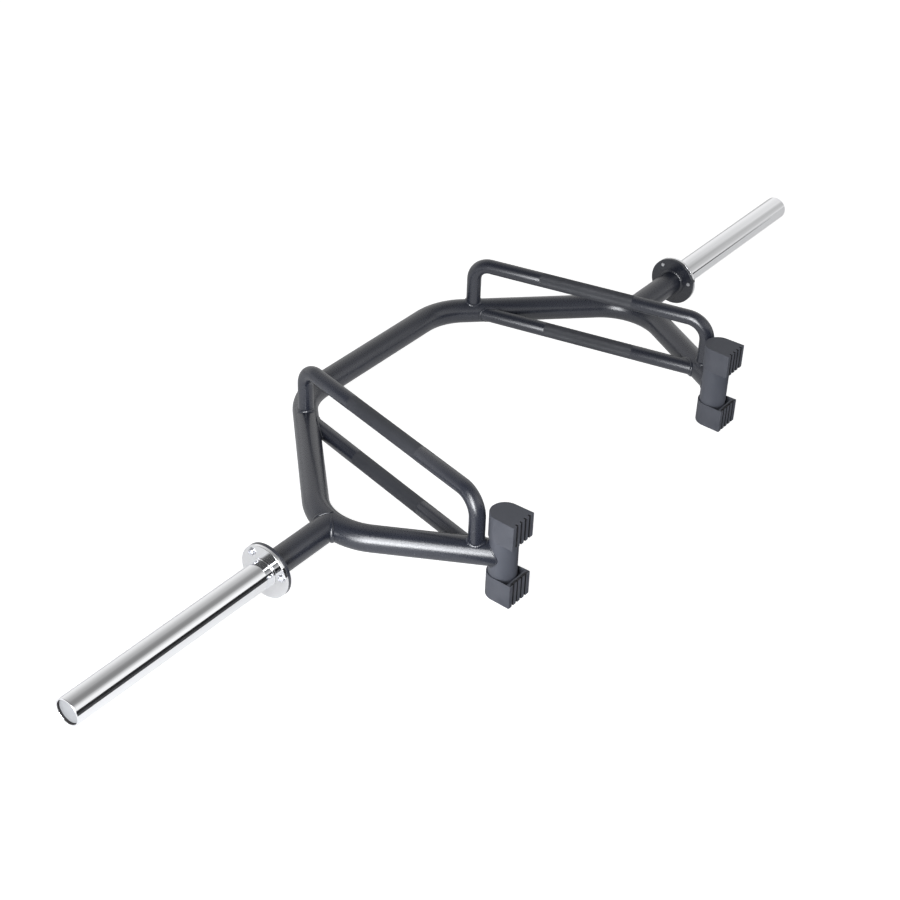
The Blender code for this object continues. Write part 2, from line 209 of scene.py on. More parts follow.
def makeMetal(name, look):
    # Fine turned lines, more or less hazed from place to place.
    material, tree, shader, coords = startMaterial(name)
    shader.inputs["Metallic"].default_value = look["metal"]
    shader.inputs["Base Color"].default_value = (*look["colour"], 1)
    lines = addNoise(tree, coords, look["lineScale"], detail=2.0, stretch=turnedLines["stretch"])
    haze = addNoise(tree, coords, look["hazeScale"], detail=4.0)
    blend = addMath(tree, "MULTIPLY", lines, haze)
    linkShader(tree, shader, roughness=addRange(tree, blend, *look["gloss"], start=0.12, end=0.40),
               normal=addBump(tree, lines, turnedLines["height"]))
    return material


finishes = {
    "powder_coat": makeCoat("satinCoat", coatLook),
    "knurl": makeCoat("knurledCoat", knurlLook),
    "postCoat": makeCoat("postCoat", postLook),
    "grey_rubber": makeRubber("greyRubber", rubberLook),
    "paintedGrooveShade": makeRubber("paintedGrooveShade", grooveShadeLook),
    "chrome": makeMetal("polishedChrome", chromeLook),
    "capSteel": makeMetal("turnedSteel", capLook),
    "zinc": makeMetal("brightZinc", zincLook),
    "bareSteelPaintedShade": makeCoat("bareSteelPaintedShade", boreShadeLook),
}
print("finishes made:", ", ".join(finishes))


def finishPiece(form, name, slot, node, look=None, extra=(), smooth=35, bevel=0.0, segments=3):
    # Makes the piece that stands for a node. Its first finish is the look, or else the slot's own.
    bmesh.ops.recalc_face_normals(form, faces=form.faces)
    mesh = bpy.data.meshes.new(name)
    form.to_mesh(mesh)
    form.free()
    mesh.set_sharp_from_angle(angle=math.radians(smooth))
    for material in (look or slot, *extra):
        mesh.materials.append(finishes[material])
    piece = bpy.data.objects.new(name, mesh)
    bpy.context.scene.collection.objects.link(piece)
    if bevel:
        rounded = piece.modifiers.new("softEdges", "BEVEL")
        rounded.width = bevel
        rounded.segments = segments
        rounded.limit_method = "ANGLE"
        rounded.angle_limit = math.radians(smooth)
        rounded.harden_normals = True
    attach(piece, "root")
    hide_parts(node)


def smoothFaces(form):
    for face in form.faces:
        face.smooth = True


def newVerts(made):
    return [item for item in made if isinstance(item, bmesh.types.BMVert)]


def ringEdges(verts):
    inRing = set(verts)
    near = dict.fromkeys(edge for vert in verts for edge in vert.link_edges)
    return [edge for edge in near if edge.verts[0] in inRing and edge.verts[1] in inRing]


def capRing(form, verts):
    made = bmesh.ops.contextual_create(form, geom=ringEdges(verts))
    bmesh.ops.poke(form, faces=made["faces"])


def facing(heading, side):
    # Turns local X to the side given and local Z to the heading.
    return Matrix((side, heading.cross(side), heading)).transposed().to_4x4()


def turnProfile(form, profile, centre, heading, side, steps, closed=False):
    # Turns (along, radius) corners right round the heading.
    before = set(form.verts)
    verts = [form.verts.new(centre + heading * along + side * radius) for along, radius in profile]
    pairs = list(zip(verts, verts[1:])) + ([(verts[-1], verts[0])] if closed else [])
    edges = [form.edges.new(pair) for pair in pairs]
    bmesh.ops.spin(form, geom=verts + edges, cent=centre, axis=heading, dvec=(0, 0, 0),
                   angle=math.tau, steps=steps, use_merge=True, use_duplicate=False)
    made = [vert for vert in form.verts if vert not in before]
    bmesh.ops.remove_doubles(form, verts=made, dist=samePlace)


def pathMoves(corners, bends, bendSteps):
    # Straight runs between corners, with a round bend at each inner corner.
    moves = []
    here = corners[0]
    for before, corner, after, bend in zip(corners, corners[1:], corners[2:], bends):
        heading = (corner - before).normalized()
        leaving = (after - corner).normalized()
        turn = heading.angle(leaving)
        hinge = heading.cross(leaving).normalized()
        start = corner - heading * bend * math.tan(turn / 2)
        moves.append({"run": start - here})
        moves.append({"centre": start + hinge.cross(heading) * bend, "hinge": hinge,
                      "turn": turn, "radius": bend, "bendSteps": bendSteps})
        here = corner + leaving * bend * math.tan(turn / 2)
    moves.append({"run": corners[-1] - here})
    return moves


def bendTube(start, side, moves, radius, count):
    # Draws a ring of edges along the moves. Each corner keeps how far along and round it lies.
    form = bmesh.new()
    along = form.verts.layers.float.new("along")
    around = form.verts.layers.float.new("around")
    place = Matrix.Translation(start) @ facing(moves[0]["run"].normalized(), side)
    ring = bmesh.ops.create_circle(form, segments=count, radius=radius, matrix=place)["verts"]
    for index, vert in enumerate(ring):
        vert[around] = index / count
    travelled = 0.0
    fine, rows = [], 1
    for move in moves:
        for _ in range(move.get("bendSteps", 1)):
            edges = ringEdges(ring)
            if "run" in move:
                last = set(ring)
                ring = newVerts(bmesh.ops.extrude_edge_only(form, edges=edges)["geom"])
                bmesh.ops.translate(form, verts=ring, vec=move["run"])
                travelled += move["run"].length
                if "rows" in move:
                    rows = move["rows"]
                    fine = [edge for vert in ring for edge in vert.link_edges
                            if edge.other_vert(vert) in last]
            else:
                turn = move["turn"] / move["bendSteps"]
                made = bmesh.ops.spin(form, geom=ring + edges, cent=move["centre"],
                                      axis=move["hinge"], dvec=(0, 0, 0), angle=turn, steps=1,
                                      use_merge=False, use_duplicate=False)
                ring = newVerts(made["geom_last"])
                travelled += move["radius"] * turn
            for vert in ring:
                vert[along] = travelled
    if fine:
        bmesh.ops.subdivide_edges(form, edges=fine, cuts=rows - 1, use_grid_fill=True)
    smoothFaces(form)
    return form, travelled


def ringAt(form, distance, tolerance=0.00001):
    along = form.verts.layers.float["along"]
    return [vert for vert in form.verts if abs(vert[along] - distance) < tolerance]


# A seat says how far a point lies outside the surface that a tube is let down on to.
def lineSeat(start, heading, radius):
    # A straight tube.
    def outside(point):
        arm = point - start
        return (arm - heading * arm.dot(heading)).length - radius
    return outside


def bendSeat(centre, bend, radius):
    # A tube bent about an upright line through the centre.
    def outside(point):
        arm = point - centre
        return math.hypot(math.hypot(arm.x, arm.y) - bend, arm.z) - radius
    return outside


def faceSeat(place, outward):
    # A flat face.
    def outside(point):
        return (point - place).dot(outward)
    return outside


def seatNormal(seat, point, step=0.0001):
    slopes = [seat(point + way * step) - seat(point - way * step) for way in Matrix.Identity(3)]
    return Vector(slopes).normalized()


def dropOnto(point, heading, reach, seat, halvings=26):
    # How far a point may move along the heading before it meets the seat.
    near, far = 0.0, reach
    for _ in range(halvings):
        middle = (near + far) / 2
        if seat(point + heading * middle) > 0:
            near = middle
        else:
            far = middle
    return near


def copeEnd(form, ring, anchor, heading, reach, seat, sink=0.0004):
    # Lets the end of a tube down on to its seat, and closes it.
    for vert in ring:
        base = vert.co - heading * (vert.co - anchor).dot(heading)
        vert.co = base + heading * (dropOnto(base, heading, reach, seat) + sink)
    capRing(form, ring)


# A slow change of width along every bead. The shift, times the tube's radius, sets its start.
beadSway = {"size": 0.06, "turns": 3, "shift": 900}
thinPower = 3  # how suddenly a bead thins where the two tubes run flush


def addBead(form, anchor, heading, side, radius, reach, seat, weld):
    # A run of weld: a small circle turned round the tube, let down on to the joint and rippled.
    # It is pressed flat across the corner that it fills.
    bead = bmesh.new()
    tangent = heading.cross(side)
    spot = Matrix.Translation(anchor + side * radius) @ facing(tangent, side)
    small = bmesh.ops.create_circle(bead, segments=weld["sides"], radius=weld["size"],
                                    matrix=spot)["verts"]
    bmesh.ops.spin(bead, geom=small + ringEdges(small), cent=anchor, axis=heading, dvec=(0, 0, 0),
                   angle=math.tau, steps=weld["steps"], use_merge=True, use_duplicate=False)
    landings = {}
    for vert in bead.verts:
        arm = vert.co - anchor
        spoke = (arm - heading * arm.dot(heading)).normalized()
        turn = math.atan2(spoke.dot(tangent), spoke.dot(side))
        step = round(turn / math.tau * weld["steps"]) % weld["steps"]
        root = anchor + spoke * radius
        if step not in landings:
            drop = heading * dropOnto(root, heading, reach, seat)
            across = seatNormal(seat, root + drop)
            thin = 1 - weld["thinning"] * max(spoke.dot(across), 0) ** thinPower
            landings[step] = (drop, (spoke + across).normalized(), thin)
        drop, corner, thin = landings[step]
        phase = step / weld["steps"] * math.tau
        sway = math.sin(phase * beadSway["turns"] + radius * beadSway["shift"])
        ripple = math.sin(phase * weld["ripples"])
        swell = 1 + weld["ripple"] * ripple + beadSway["size"] * sway
        offset = (vert.co - root) * swell * thin
        offset -= corner * offset.dot(corner) * (1 - weld["crown"])
        vert.co = root + offset + drop
    smoothFaces(bead)
    loose = bpy.data.meshes.new("bead")
    bead.to_mesh(loose)
    bead.free()
    form.from_mesh(loose)
    bpy.data.meshes.remove(loose)


frameTube = {
    "radius": 0.024, "sides": 64, "frontBend": 0.120, "sideBend": 0.120, "bendSteps": 18,
    "frontCorner": Vector((0.206, 0.298, 0)), "sideCorner": Vector((0.502, 0, 0)),
    "rearLean": math.radians(29.8),
}
postBead = {"size": 0.0028, "sides": 12, "steps": 144, "ripples": 48, "ripple": 0.03,
            "crown": 0.78, "thinning": 0.60}

frontCorner, sideCorner = frameTube["frontCorner"], frameTube["sideCorner"]
frontLeg = (sideCorner - frontCorner).normalized()
rearLeg = Vector((-math.sin(frameTube["rearLean"]), -math.cos(frameTube["rearLean"]), 0))


def makeFrameTube():
    # Returns the centres of the two side bends, on which the stubs sit.
    corners = [postAxis("left"), inRow(sideCorner, -1), inRow(frontCorner, -1),
               inRow(frontCorner), inRow(sideCorner), postAxis("right")]
    bends = [frameTube[name] for name in ("sideBend", "frontBend", "frontBend", "sideBend")]
    moves = pathMoves(corners, bends, frameTube["bendSteps"])
    form, length = bendTube(corners[0], up, moves, frameTube["radius"], frameTube["sides"])
    firstRun, lastRun = moves[0]["run"], moves[-1]["run"]
    reach = firstRun.length
    for label, end, anchor, run in (("left", 0, corners[0] + firstRun, -firstRun),
                                    ("right", length, corners[-1] - lastRun, lastRun)):
        heading = run.normalized()
        low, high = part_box("foot_post_" + label)
        seat = lineSeat(postAxis(label), up, (high.x - low.x) / 2)
        copeEnd(form, ringAt(form, end), anchor, heading, reach, seat)
        addBead(form, anchor, heading, up, frameTube["radius"], reach, seat, postBead)
    finishPiece(form, "frameTube", "powder_coat", "main_frame_tube")
    return {"left": moves[1]["centre"], "right": moves[-2]["centre"]}


sideHubs = makeFrameTube()
print("frame tube bent and coped to the posts")


gripTube = {
    "radius": 0.0145, "sides": 90,
    "spacing": 0.628, "toe": math.radians(13.1),  # apart at the middle, turned in to the front
    "rise": 0.111, "frontBend": 0.035, "rearBend": 0.042, "bendSteps": 16,
    "knurlDepth": 0.00032, "knurlStep": 0.00101,
    "raisedKnurl": (0.110, 0.193), "lowerKnurl": (0.161, 0.186),  # where it starts, how long it is
    "lowerAnchors": (0.4, 0.6),  # from where on a lower grip its ends are let down on to the frame
}
gripBead = {"size": 0.0042, "sides": 16, "steps": 112, "ripples": 28, "ripple": 0.04,
            "crown": 0.80, "thinning": 0.60}


def gripCrossing(start, heading):
    # Where the grip line crosses a straight leg of the frame, seen from above.
    lean = math.tan(gripTube["toe"])
    run = (gripTube["spacing"] / 2 - start.x - lean * start.y) / (heading.x + lean * heading.y)
    return start + heading * run


def knurlRows(length):
    return 2 * round(length / gripTube["knurlStep"] / 2)


def splitRun(moves, index, knurl):
    # Divides a straight run into a smooth start, the knurled length in rows, and a smooth end.
    run = moves[index]["run"]
    heading = run.normalized()
    start, length = knurl
    pieces = [{"run": heading * start}, {"run": heading * length, "rows": knurlRows(length)},
              {"run": heading * (run.length - start - length)}]
    return moves[:index] + pieces + moves[index + 1:]


def cutKnurl(form, start, length, point, heading):
    # Every other corner goes down, which leaves rows of small pyramids.
    along = form.verts.layers.float["along"]
    around = form.verts.layers.float["around"]
    rows = knurlRows(length)
    knurled = set()
    for vert in form.verts:
        row = (vert[along] - start) / length * rows
        if -0.5 < row < rows + 0.5:
            knurled.add(vert)
            if (round(vert[around] * gripTube["sides"]) + round(row)) % 2:
                middle = point + heading * (vert.co - point).dot(heading)
                kept = 1 - gripTube["knurlDepth"] / gripTube["radius"]
                vert.co = middle + (vert.co - middle) * kept
    faces = [face for face in form.faces if all(vert in knurled for vert in face.verts)]
    for face in bmesh.ops.triangulate(form, faces=faces, quad_method="SHORT_EDGE")["faces"]:
        face.smooth = False
        face.material_index = 1


def makeGrip(kind, label, side):
    # A raised grip is bent down at both ends, a lower one is straight. Both end on the frame.
    front = inRow(gripCrossing(sideCorner, -frontLeg), side)
    rear = inRow(gripCrossing(sideCorner, rearLeg), side)
    line = (rear - front).normalized()
    if kind == "raised":
        rise = up * gripTube["rise"]
        bends = (gripTube["frontBend"], gripTube["rearBend"])
        moves = pathMoves([front, front + rise, rear + rise, rear], bends, gripTube["bendSteps"])
        middle, broadside, onLine = 2, line.cross(up), rear + rise
        before = moves[0]["run"].length + moves[1]["radius"] * moves[1]["turn"]
        anchors = (front + moves[0]["run"], rear - moves[-1]["run"])
    else:
        moves = [{"run": rear - front}]
        middle, broadside, onLine, before = 0, up, front, 0.0
        anchors = [front.lerp(rear, share) for share in gripTube["lowerAnchors"]]
    start, knurled = gripTube[kind + "Knurl"]
    moves = splitRun(moves, middle, (start, knurled))
    form, length = bendTube(front, broadside, moves, gripTube["radius"], gripTube["sides"])
    cutKnurl(form, before + start, knurled, onLine, line)
    legs = [Vector((side * leg.x, leg.y, 0)) for leg in (frontLeg, rearLeg)]
    for end, root, anchor, leg in zip((0, length), (front, rear), anchors, legs):
        heading = (root - anchor).normalized()
        reach = (root - anchor).length
        seat = lineSeat(root, leg, frameTube["radius"])
        copeEnd(form, ringAt(form, end), anchor, heading, reach, seat)
        addBead(form, anchor, heading, broadside, gripTube["radius"], reach, seat, gripBead)
    name, node = kind + "Grip_" + label, kind + "_grip_" + label
    finishPiece(form, name, "powder_coat", node, extra=("knurl",))


for label, side in sides.items():
    makeGrip("raised", label, side)
    makeGrip("lower", label, side)
print("grips bent, knurled and welded")


stubTube = {
    "radius": 0.024, "sides": 64,
    "past": 0.3,  # how far past the side corner its end may reach, as a share of the side bend
    "flangeBeadFrom": 0.02, "flangeBeadReach": 0.03,
}
weldBead = {"size": 0.0052, "sides": 16, "steps": 144, "ripples": 36, "ripple": 0.03,
            "crown": 0.78, "thinning": 0.75}
flange = {"sides": 96, "holeSides": 24, "holeRadius": 0.0043, "edge": 0.0008}


def makeStub(label, side):
    # From the flange in to the side bend, with a bead at each end.
    face = sleeveSpan("frame_flange_" + label, side)[0]
    inward = Vector((-side, 0, 0))
    radius = stubTube["radius"]
    run = inward * (abs(face.x) - sideCorner.x + frameTube["sideBend"] * stubTube["past"])
    form, length = bendTube(face, up, [{"run": run}], radius, stubTube["sides"])
    capRing(form, ringAt(form, 0))
    seat = bendSeat(sideHubs[label], frameTube["sideBend"], frameTube["radius"])
    copeEnd(form, ringAt(form, length), face, inward, run.length, seat)
    addBead(form, face, inward, up, radius, run.length, seat, weldBead)
    start = face + inward * stubTube["flangeBeadFrom"]
    seat = faceSeat(face, inward)
    addBead(form, start, -inward, up, radius, stubTube["flangeBeadReach"], seat, weldBead)
    finishPiece(form, "stubTube_" + label, "powder_coat", "stub_tube_" + label)


def makeFlange(name, label, slot, node):
    # A disc and its screw holes drawn on the inner plane, filled, and given its thickness.
    low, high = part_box(node + "_" + label)
    form = bmesh.new()

    def drawCircle(spot, radius, count):
        place = Matrix.Translation((low.x, spot.y, spot.z)) @ facing(right, up)
        bmesh.ops.create_circle(form, segments=count, radius=radius, matrix=place)

    drawCircle((low + high) / 2, (high.z - low.z) / 2, flange["sides"])
    for index in screwNumbers:
        spot = boxCentre("flange_screw_%s_%d" % (label, index))
        drawCircle(spot, flange["holeRadius"], flange["holeSides"])
    bmesh.ops.triangle_fill(form, edges=form.edges[:], use_beauty=True, use_dissolve=True,
                            normal=right)
    made = bmesh.ops.extrude_face_region(form, geom=form.faces[:])["geom"]
    bmesh.ops.translate(form, verts=newVerts(made), vec=right * (high.x - low.x))
    smoothFaces(form)
    finishPiece(form, name + "_" + label, slot, node + "_" + label, bevel=flange["edge"])


for label, side in sides.items():
    makeStub(label, side)
    makeFlange("frameFlange", label, "powder_coat", "frame_flange")
    makeFlange("sleeveFlange", label, "chrome", "sleeve_flange")
print("stubs and flanges made")


sleeve = {"steps": 96, "wall": 0.003, "mouthEdge": 0.001, "boreEdge": 0.0003, "edgeSteps": 5}
rootBead = {"size": 0.0016, "height": 0.9, "shift": 0.2, "sides": 10}  # sleeve to flange
endCap = {"steps": 96, "edge": 0.0006, "edgeSteps": 4}
screw = {
    "steps": 24, "shank": 0.004, "point": 0.0006, "lift": 0.0002, "head": 0.007,
    "headHeight": 0.0044, "headEdge": 0.0003, "crown": 0.0042,
    "dome": ((0.42, 0.965), (0.72, 0.85), (0.92, 0.70)),  # shares of the height and the radius
    "socket": 0.0030, "socketDepth": 0.0026, "socketSides": 6,
}


def roundedCorner(along, radius, edge, steps):
    # The outer corner of a turned profile, from the side round to the end face.
    turns = [math.pi / 2 * step / steps for step in range(steps + 1)]
    return [(along - edge * (1 - math.sin(turn)), radius - edge * (1 - math.cos(turn)))
            for turn in turns]


def makeSleeve(label, side):
    root, outward, radius, length = sleeveSpan("sleeve_tube_" + label, side)
    inner = radius - sleeve["wall"]
    edge = sleeve["boreEdge"]
    mouth = roundedCorner(length, radius, sleeve["mouthEdge"], sleeve["edgeSteps"])
    bore = [(length, inner + edge), (length - edge, inner), (0, inner)]
    form = bmesh.new()
    turnProfile(form, [(0, radius)] + mouth + bore, root, outward, up, sleeve["steps"],
                closed=True)
    for face in form.faces:  # the bore is bare steel, coloured near black as painted shade for the dark inside of the mouth
        arm = face.calc_center_median() - root
        if (arm - outward * arm.dot(outward)).length < inner + slack:
            face.material_index = 1
    size, count = rootBead["size"], rootBead["sides"]
    bead = []
    for turn in [math.tau * step / count for step in range(count)]:
        bead.append((max(size * (rootBead["shift"] + math.cos(turn)), 0.0),
                     radius + size * math.sin(turn) * rootBead["height"]))
    turnProfile(form, bead, root, outward, up, sleeve["steps"], closed=True)
    smoothFaces(form)
    finishPiece(form, "sleeveTube_" + label, "chrome", "sleeve_tube_" + label,
                extra=("bareSteelPaintedShade",), smooth=30)


def makeEndCap(label, side):
    root, outward, radius, depth = sleeveSpan("sleeve_end_cap_" + label, side)
    rim = roundedCorner(depth, radius, endCap["edge"], endCap["edgeSteps"])
    form = bmesh.new()
    turnProfile(form, [(0, 0), (0, radius)] + rim + [(depth, 0)], root, outward, up,
                endCap["steps"])
    smoothFaces(form)
    finishPiece(form, "endCap_" + label, "chrome", "sleeve_end_cap_" + label, look="capSteel",
                smooth=25)


def cutSocket(form, root, outward, floor):
    # Draws the round socket in to flats, from its floor to its rim.
    half = math.pi / screw["socketSides"]
    for vert in form.verts:
        arm = vert.co - root
        height = arm.dot(outward)
        spoke = arm - outward * height
        if height > floor - slack and slack < spoke.length < screw["socket"] + slack:
            turn = math.atan2(spoke.y, spoke.z) % (2 * half)
            vert.co -= spoke * (1 - math.cos(half) / math.cos(turn - half))


def makeScrew(label, side, index):
    # A socket screw: shank and point, then the head with its dome, turned in one profile.
    node = "flange_screw_%s_%d" % (label, index)
    low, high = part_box(node)
    flangeLow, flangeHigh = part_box("sleeve_flange_" + label)
    seatX = flangeHigh.x if side > 0 else flangeLow.x
    tail = abs(seatX - (low.x if side > 0 else high.x))
    spot = boxCentre(node)
    root, outward = Vector((seatX, spot.y, spot.z)), Vector((side, 0, 0))
    shank, point, lift = screw["shank"], screw["point"], screw["lift"]
    head, edge, rise = screw["head"], screw["headEdge"], screw["headHeight"]
    floor = rise - screw["socketDepth"]
    profile = [(-tail, 0), (-tail, shank - point), (-tail + point, shank), (lift, shank),
               (lift, head - edge), (lift + edge, head)]
    profile += [(rise * height, head * width) for height, width in screw["dome"]]
    profile += [(rise, screw["crown"]), (rise, screw["socket"]), (floor, screw["socket"]),
                (floor, 0)]
    form = bmesh.new()
    turnProfile(form, profile, root, outward, up, screw["steps"])
    cutSocket(form, root, outward, floor)
    smoothFaces(form)
    finishPiece(form, "screw_%s_%d" % (label, index), "zinc", node, smooth=30)


for label, side in sides.items():
    makeSleeve(label, side)
    makeEndCap(label, side)
    for index in screwNumbers:
        makeScrew(label, side, index)
print("sleeves, caps and screws made")


post = {"steps": 72, "wall": 0.003}
foot = {
    "height": 0.048, "wall": 0.0022, "floor": 0.006, "clearance": 0.0003, "edge": 0.0007,
    "back": 0.037, "backHalfWidth": 0.029, "backWall": 0.004, "frontSteps": 40,
    "ribs": 5, "ribDepth": 0.0045, "ribSkin": 0.001, "groove": 0.0044, "taper": 0.0008,
}
postLow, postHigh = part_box("foot_post_right")
footBore = (postHigh.x - postLow.x) / 2 + foot["clearance"]


def makePost(label):
    low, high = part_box("foot_post_" + label)
    radius, length = (high.x - low.x) / 2, high.z - low.z
    inner = radius - post["wall"]
    form = bmesh.new()
    turnProfile(form, [(0, radius), (length, radius), (length, inner), (0, inner)],
                Vector((*postAxis(label).xy, low.z)), up, right, post["steps"], closed=True)
    smoothFaces(form)
    finishPiece(form, "footPost_" + label, "powder_coat", "foot_post_" + label, look="postCoat")


def loopFrom(vert):
    # The edges of the loop that a corner belongs to, one after the other.
    edges = []
    while True:
        ahead = [edge for edge in vert.link_edges if edge not in edges]
        if not ahead:
            return edges
        edges.append(ahead[0])
        vert = ahead[0].other_vert(vert)


def cutGrooves(form, backEdge, halfWidth, back, depth):
    # Notches the back edge of a foot, with sides that taper towards the floor of each groove.
    # Returns a new corner, because the cut takes the old ones away.
    cuts = bmesh.ops.subdivide_edges(form, edges=[backEdge], cuts=4 * (foot["ribs"] - 1))
    marks = sorted(newVerts(cuts["geom_inner"]), key=lambda vert: vert.co.x)
    lip = foot["groove"] / 2
    floor = lip - foot["taper"]
    shape = ((-lip, 0), (-floor, depth), (floor, depth), (lip, 0))
    pitch = 2 * halfWidth / foot["ribs"]
    for number in range(foot["ribs"] - 1):
        centre = -halfWidth + pitch * (number + 1)
        for vert, (shift, inward) in zip(marks[4 * number:4 * number + 4], shape):
            vert.co.x = centre + shift
            vert.co.y = inward - back
    return marks[0]


def footLoop(form, radius, back, grooveDepth, height):
    # A round front, flared straight sides, and a back edge that may be grooved. Returns its edges.
    widest = foot["wall"] + footBore
    reachOut = math.hypot(foot["backHalfWidth"], foot["back"])
    flare = math.acos(widest / reachOut) - math.atan2(foot["back"], foot["backHalfWidth"])
    start = form.verts.new((radius * math.cos(flare), radius * math.sin(flare), height))
    made = bmesh.ops.spin(form, geom=[start], cent=(0, 0, height), axis=up, dvec=(0, 0, 0),
                          angle=math.pi - 2 * flare, steps=foot["frontSteps"],
                          use_duplicate=False)
    end = newVerts(made["geom_last"])[0]
    halfWidth = (radius + back * math.sin(flare)) / math.cos(flare)
    cornerLeft = form.verts.new((-halfWidth, -back, height))
    cornerRight = form.verts.new((halfWidth, -back, height))
    form.edges.new((end, cornerLeft))
    backEdge = form.edges.new((cornerLeft, cornerRight))
    form.edges.new((cornerRight, start))
    if grooveDepth:
        start = cutGrooves(form, backEdge, halfWidth, back, grooveDepth)
    return loopFrom(start)


def raiseLoop(form, edges, height):
    verts = newVerts(bmesh.ops.extrude_edge_only(form, edges=edges)["geom"])
    bmesh.ops.translate(form, verts=verts, vec=(0, 0, height))
    return ringEdges(verts)


def makeFoot(name, label, upper):
    form = bmesh.new()
    outer = footLoop(form, footBore + foot["wall"], foot["back"], foot["ribDepth"], 0)
    bmesh.ops.contextual_create(form, geom=outer)
    outerTop = raiseLoop(form, outer, foot["height"])
    pocketBack = foot["back"] - foot["ribDepth"] - foot["backWall"]
    pocket = footLoop(form, footBore, pocketBack, 0, foot["height"])
    pocketFloor = raiseLoop(form, pocket, foot["floor"] - foot["height"])
    bmesh.ops.contextual_create(form, geom=pocketFloor)
    bmesh.ops.triangle_fill(form, edges=outerTop + pocket, use_beauty=True, use_dissolve=False,
                            normal=up)
    for face in form.faces:  # the groove faces get painted shade, a near-black rubber for the shadow deep in the grooves
        if all(vert.co.y < foot["ribDepth"] - foot["back"] + slack for vert in face.verts):
            inShadedGroove = face.calc_center_median().y > foot["ribSkin"] - foot["back"]
            face.material_index = int(inShadedGroove)
    if upper:
        halfTurn = Matrix.Rotation(math.pi, 3, "Y")
        bmesh.ops.rotate(form, verts=form.verts, cent=(0, 0, 0), matrix=halfTurn)
    low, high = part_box(name + "_foot_" + label)
    base = high.z if upper else low.z
    bmesh.ops.translate(form, verts=form.verts, vec=(*postAxis(label).xy, base))
    smoothFaces(form)
    finishPiece(form, name + "Foot_" + label, "grey_rubber", name + "_foot_" + label,
                extra=("paintedGrooveShade",), bevel=foot["edge"])


for label in sides:
    makePost(label)
    makeFoot("upper", label, True)
    makeFoot("lower", label, False)
print("posts and feet made")


# In the studio, "around" is degrees from the camera towards the picture's right, and "up" is
# degrees from the floor.
studio = {
    "floorSize": 7.0, "floorSides": 96, "floorColour": 0.60,
    "floorSeen": 0.82, "floorMirrored": 0.30,  # its own glow, for the camera and in shiny pieces
    "ambient": 0.31,  # the even light from all round
    "wall": 0.95, "ceilingLoss": 0.65, "ceilingPower": 2.0,  # what shiny pieces mirror
}
skySpots = {  # soft patches that shiny pieces mirror: from which cosine to which, and how much
    "gap": {"around": 113, "up": 55, "start": 0.87, "full": 0.995, "darker": 0.42},
    "farGap": {"around": 113, "up": 20, "start": 0.92, "full": 0.985, "darker": 0.38},
    "front": {"around": -42, "up": 40, "start": 0.48, "full": 0.80, "darker": 0.84},
    "glow": {"around": 88, "up": 35, "start": 0.93, "full": 0.994, "brighter": 0.28},
}
blackCard = {
    "from": (-3.2, -0.29), "to": (1.5, -2.6), "height": 0.95, "lift": 0.002,
    "colour": (0.02, 0.02, 0.022), "roughness": 0.9,
}
lampColour = (0.955, 0.970, 1.0)
lamps = {  # distance and size in metres, power in watts
    "keyStrip": {"around": -17, "up": 21.5, "distance": 3.0, "size": (1.00, 2.15), "power": 65,
                 "mirrored": True},
    "lowStrip": {"around": -23, "up": 11, "distance": 2.9, "size": (1.50, 1.1), "power": 36,
                 "mirrored": True},
    "softFill": {"around": 4, "up": 22, "distance": 3.4, "size": (3.0, 2.2), "power": 6,
                 "mirrored": False},
    "rightFill": {"around": 78, "up": 14, "distance": 3.2, "size": (1.4, 1.6), "power": 28,
                  "mirrored": False},
}
cameraView = {
    "place": Vector((-2.2983, -1.6063, 1.9617)), "aim": Vector((-0.0529, 0.0571, -0.0141)),
    "lens": 71.455, "sensor": 36, "clipEnd": 50, "roll": math.radians(2.212),
}


def towards(look):
    # The direction of a lamp or a patch of sky.
    back = cameraView["place"] - cameraView["aim"]
    turn = math.atan2(back.y, back.x) + math.radians(look["around"])
    rise = math.radians(look["up"])
    level = math.cos(rise)
    return Vector((math.cos(turn) * level, math.sin(turn) * level, math.sin(rise)))


def aimed(heading):
    return heading.to_track_quat("-Z", "Y")


def addRayLevel(tree, seen, mirrored, lighting):
    # One level for what the camera sees, one for what shiny pieces mirror, one for the light.
    path = tree.nodes.new("ShaderNodeLightPath")
    plain = addMath(tree, "MAXIMUM", path.outputs["Is Camera Ray"],
                    path.outputs["Is Transmission Ray"])
    glossy = path.outputs["Is Glossy Ray"]
    other = addMath(tree, "SUBTRACT", 1.0, addMath(tree, "MAXIMUM", plain, glossy))
    total = addMath(tree, "MULTIPLY", plain, seen)
    total = addMath(tree, "ADD", total, addMath(tree, "MULTIPLY", glossy, mirrored))
    return addMath(tree, "ADD", total, addMath(tree, "MULTIPLY", other, lighting))


def stageMesh(form, name, material):
    mesh = bpy.data.meshes.new(name)
    form.to_mesh(mesh)
    form.free()
    mesh.materials.append(material)
    item = bpy.data.objects.new(name, mesh)
    bpy.context.scene.collection.objects.link(item)
    return item


def makeFloor():
    material = bpy.data.materials.new("paleFloor")
    material.use_nodes = True
    tree = material.node_tree
    tree.nodes.remove(tree.nodes["Principled BSDF"])
    diffuse = tree.nodes.new("ShaderNodeBsdfDiffuse")
    diffuse.inputs["Color"].default_value = (studio["floorColour"],) * 3 + (1,)
    glow = tree.nodes.new("ShaderNodeEmission")
    level = addRayLevel(tree, studio["floorSeen"], studio["floorMirrored"], 0.0)
    tree.links.new(level, glow.inputs["Strength"])
    total = tree.nodes.new("ShaderNodeAddShader")
    tree.links.new(diffuse.outputs[0], total.inputs[0])
    tree.links.new(glow.outputs[0], total.inputs[1])
    tree.links.new(total.outputs[0], tree.nodes["Material Output"].inputs["Surface"])
    form = bmesh.new()
    bmesh.ops.create_circle(form, cap_ends=True, segments=studio["floorSides"],
                            radius=studio["floorSize"])
    stageMesh(form, "floor", material)


